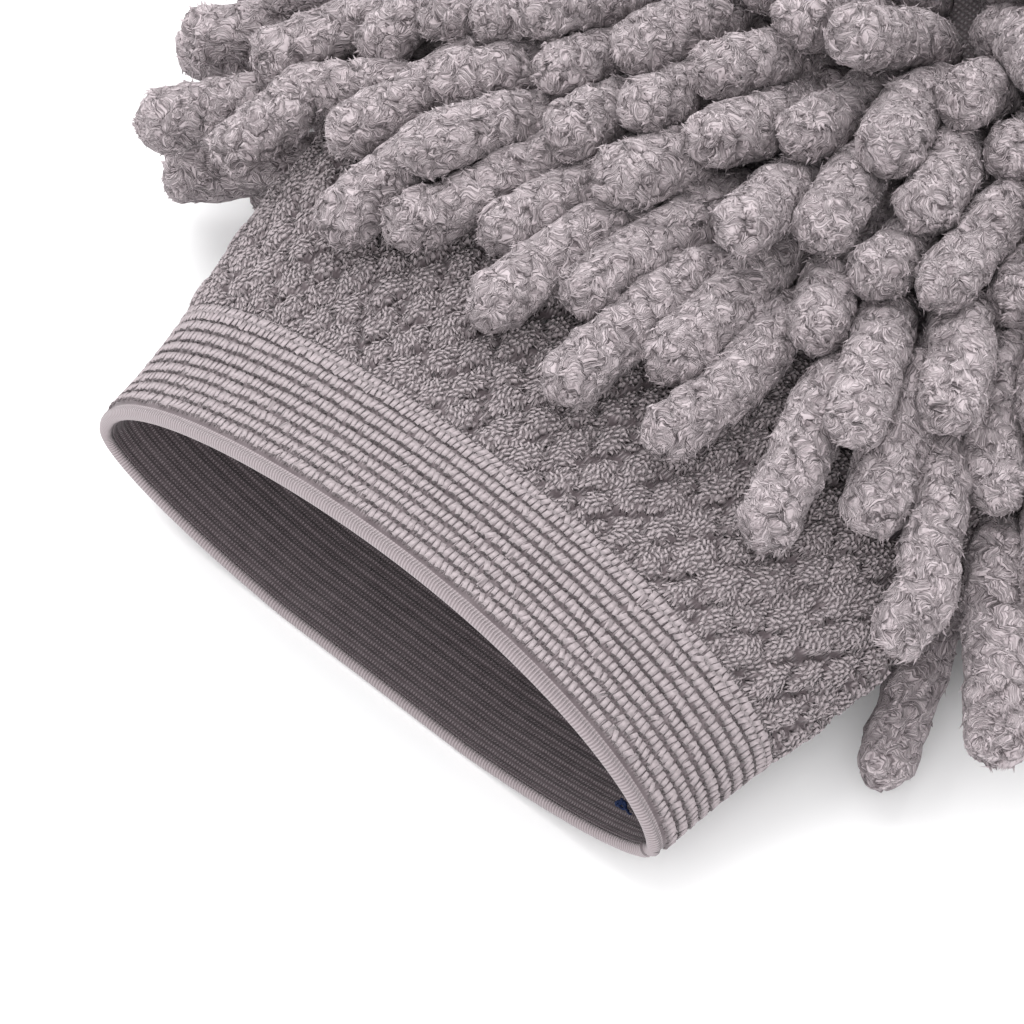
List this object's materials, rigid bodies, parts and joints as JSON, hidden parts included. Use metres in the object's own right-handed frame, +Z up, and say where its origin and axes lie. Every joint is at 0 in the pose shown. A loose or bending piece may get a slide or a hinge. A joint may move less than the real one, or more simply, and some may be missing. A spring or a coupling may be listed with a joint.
{
  "type": "chenille wash mitt",
  "caption": "Oval wash mitt covered on both sides in fat chenille fingers, with a ribbed stretch-knit cuff that bends where it joins the hand.",
  "frame": {"origin": "centre of the bounding box, on the surface the mitt lies on", "axes": "+Y from the mouth of the cuff to the fingertips, +X across the mouth, +Z up out of the back of the mitt"},
  "size_m": [0.1884, 0.2696, 0.067],
  "materials": {
    "chenille": "deep tufted microfibre pile, matt",
    "cuff_knit": "textured stretch knit, matt",
    "ground_cloth": "fine smooth warp knit",
    "wadding": "soft felted sheet",
    "lining": "plain tricot",
    "elastic": "woven elastic tape",
    "seam_thread": "overlock thread",
    "tack_thread": "dark blue sewing thread"
  },
  "bodies": {
    "hand": {"back_backing": "ground_cloth", "back_wadding": "wadding", "back_lining": "lining", "palm_backing": "ground_cloth", "palm_wadding": "wadding", "palm_lining": "lining", "perimeter_seam": "seam_thread", "cuff_to_hand_seam": "seam_thread", "back_chenille_row_01": "chenille", "back_chenille_row_02": "chenille", "back_chenille_row_03": "chenille", "back_chenille_row_04": "chenille", "back_chenille_row_05": "chenille", "back_chenille_row_06": "chenille", "back_chenille_row_07": "chenille", "back_chenille_row_08": "chenille", "back_chenille_row_09": "chenille", "back_chenille_row_10": "chenille", "back_chenille_row_11": "chenille", "palm_chenille_row_01": "chenille", "palm_chenille_row_02": "chenille", "palm_chenille_row_03": "chenille", "palm_chenille_row_04": "chenille", "palm_chenille_row_05": "chenille", "palm_chenille_row_06": "chenille", "palm_chenille_row_07": "chenille", "palm_chenille_row_08": "chenille", "palm_chenille_row_09": "chenille", "palm_chenille_row_10": "chenille", "palm_chenille_row_11": "chenille"},
    "cuff": {"cuff_knit": "cuff_knit", "cuff_facing": "cuff_knit", "cuff_elastic": "elastic", "cuff_side_seam": "seam_thread", "cuff_thread_tack": "tack_thread"}
  },
  "joints": [
    {"name": "cuff_bend", "type": "hinge", "parent": "hand", "child": "cuff", "pos_m": [0, -0.0668, 0.019], "axis": [-1, 0, 0], "range_deg": [-30, 45], "stiffness_Nm_per_rad": 0.02, "deforming": ["cuff_knit", "cuff_facing", "back_chenille_row_01", "back_chenille_row_02", "palm_chenille_row_01", "palm_chenille_row_02"]}
  ]
}
